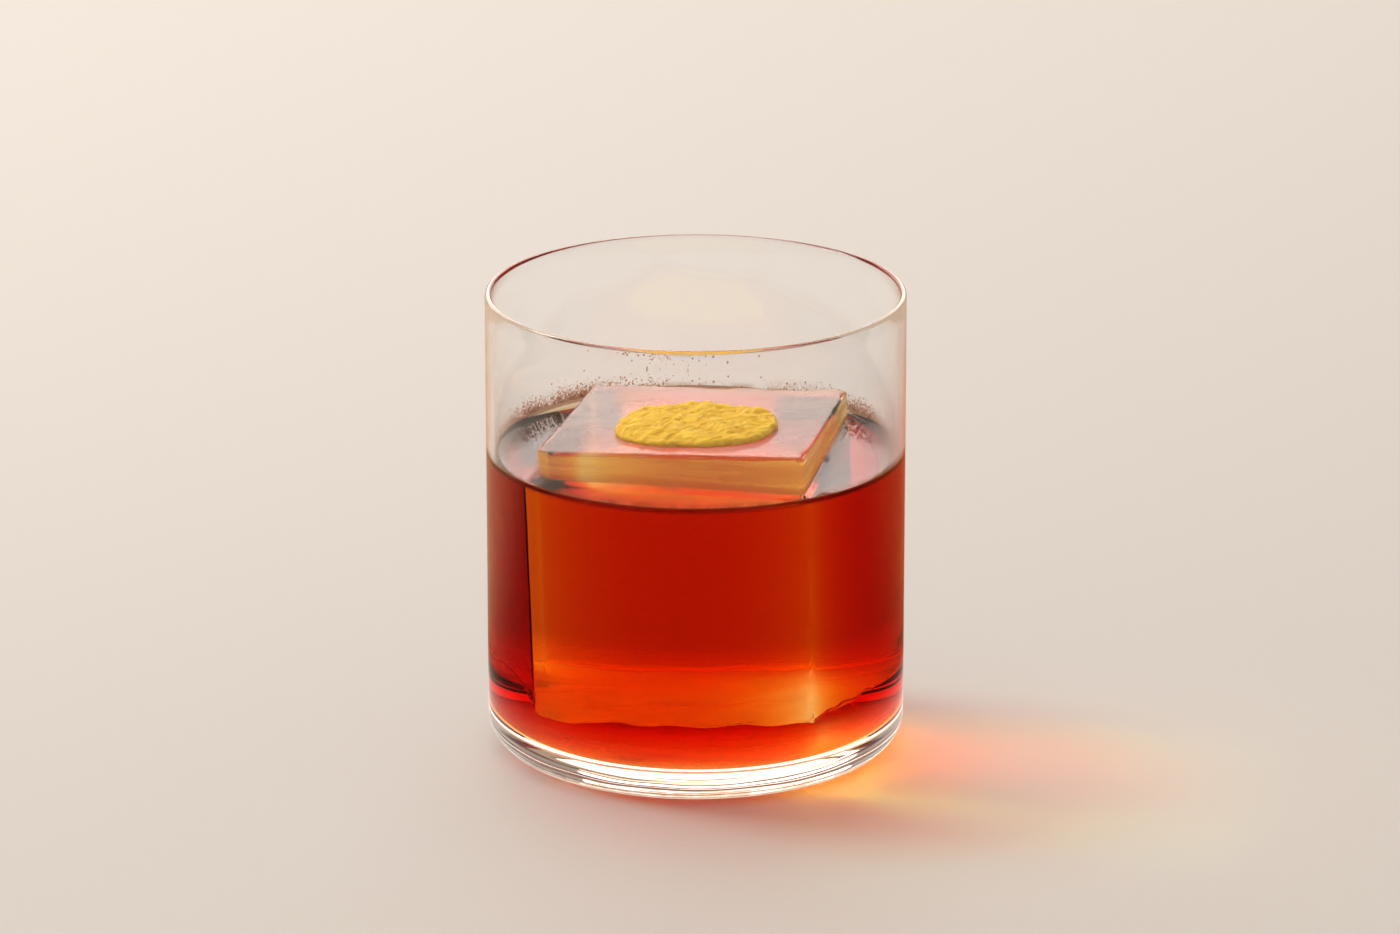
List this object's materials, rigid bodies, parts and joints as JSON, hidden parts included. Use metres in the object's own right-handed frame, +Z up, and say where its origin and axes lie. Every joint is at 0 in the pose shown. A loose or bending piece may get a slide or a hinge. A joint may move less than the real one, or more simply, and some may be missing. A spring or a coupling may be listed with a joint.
{
  "type": "negroni",
  "caption": "Deep red cocktail in a straight clear tumbler with a thick base, a large clear ice block floating askew in it and a round coin of yellow citrus peel lying on the ice.",
  "frame": {"origin": "centre of the circle that the glass rests on", "axes": "+Z up along the glass's axis, -Y towards the drinker, +X to the drinker's right"},
  "size_m": [0.082, 0.082, 0.092],
  "materials": {
    "clear_glass": "polished",
    "drink": "gloss",
    "ice": "clear, wet",
    "peel": "satin, finely dimpled"
  },
  "bodies": {
    "root": {"glass": "clear_glass", "drink": "drink", "ice_block": "ice", "citrus_peel": "peel"}
  },
  "joints": []
}
